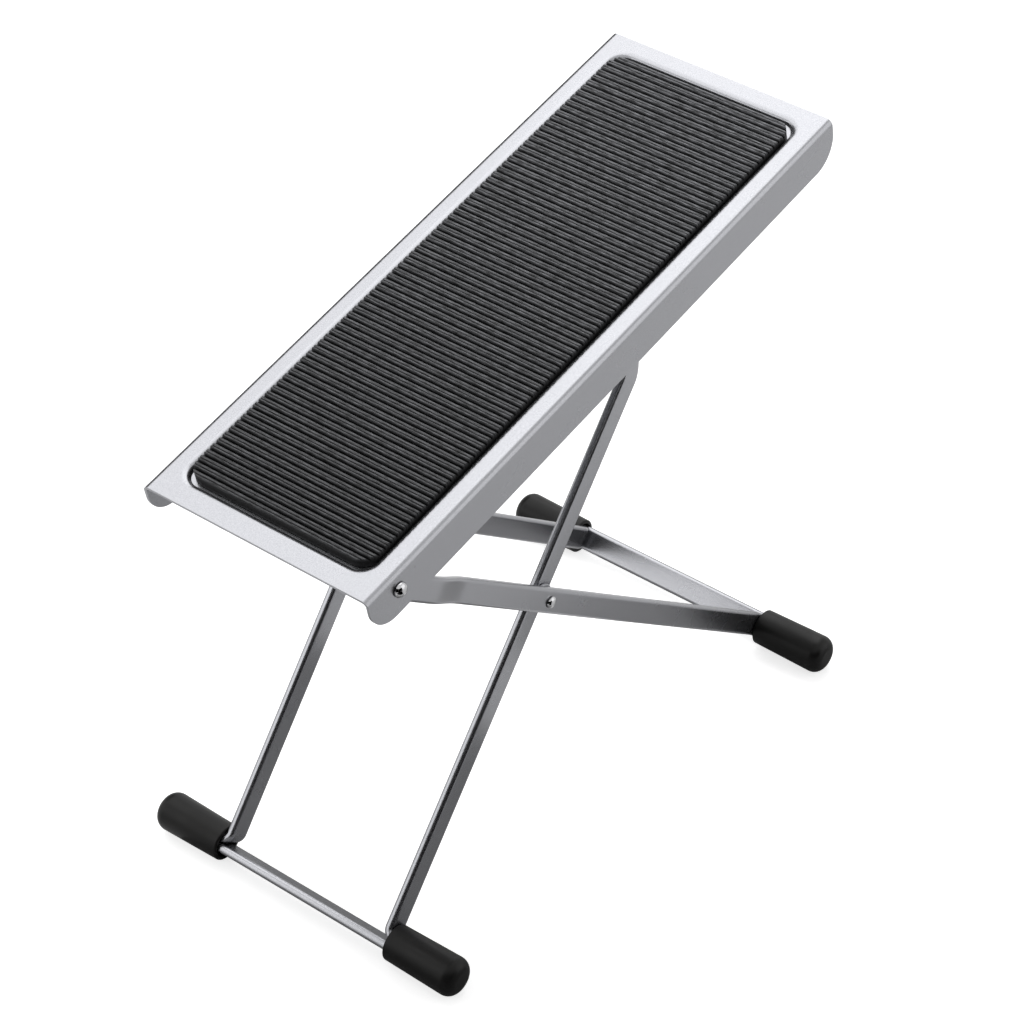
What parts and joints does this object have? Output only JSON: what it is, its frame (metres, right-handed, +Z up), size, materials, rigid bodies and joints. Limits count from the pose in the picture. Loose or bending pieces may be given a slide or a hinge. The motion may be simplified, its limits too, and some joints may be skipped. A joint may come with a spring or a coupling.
{
  "type": "guitar footrest",
  "caption": "Folding guitar footrest with a sloping ribbed platform on crossed flat-strip leg frames with rubber feet, height set by a rod under toothed racks.",
  "frame": {"origin": "on the floor under the middle of the bounding box", "axes": "+X along the platform towards its raised end, +Y across it, +Z up"},
  "size_m": [0.2828, 0.1654, 0.257],
  "materials": {
    "silver_paint": "satin",
    "black_rubber": "matte",
    "bright_rivet": "polished",
    "zinc_steel": "satin"
  },
  "bodies": {
    "outer_frame": {"outer_leg_near": "silver_paint", "outer_leg_far": "silver_paint", "outer_crossbar": "silver_paint", "outer_corner_rivet_near": "bright_rivet", "outer_corner_rivet_far": "bright_rivet", "outer_foot_near": "black_rubber", "outer_foot_far": "black_rubber", "cross_spacer_near": "zinc_steel", "cross_spacer_far": "zinc_steel"},
    "inner_frame": {"inner_leg_near": "silver_paint", "inner_leg_far": "silver_paint", "inner_crossbar": "silver_paint", "inner_corner_rivet_near": "bright_rivet", "inner_corner_rivet_far": "bright_rivet", "inner_foot_near": "black_rubber", "inner_foot_far": "black_rubber", "cross_rivet_near": "bright_rivet", "cross_rivet_far": "bright_rivet", "top_rod": "zinc_steel"},
    "pivot_rivets": {"pivot_rivet_near": "bright_rivet", "pivot_rivet_far": "bright_rivet"},
    "platform": {"platform": "silver_paint", "rubber_mat": "black_rubber", "rack_near": "zinc_steel", "rack_far": "zinc_steel"}
  },
  "joints": [
    {"name": "frame_fold", "type": "hinge", "parent": "outer_frame", "child": "inner_frame", "pos_m": [-0.03071, 0, 0.12343], "axis": [0, 1, 0], "range_deg": [0, 86.4]},
    {"name": "platform_fold", "type": "hinge", "parent": "outer_frame", "child": "pivot_rivets", "pos_m": [-0.12422, 0, 0.19525], "axis": [0, 1, 0], "range_deg": [0, 45.5]},
    {"name": "platform_lift", "type": "hinge", "parent": "pivot_rivets", "child": "platform", "pos_m": [-0.12422, 0, 0.19525], "axis": [0, -1, 0], "range_deg": [0, 20]}
  ],
  "couplings": [
    {"joint": "platform_fold", "follows": "frame_fold", "ratio": 0.5265}
  ]
}
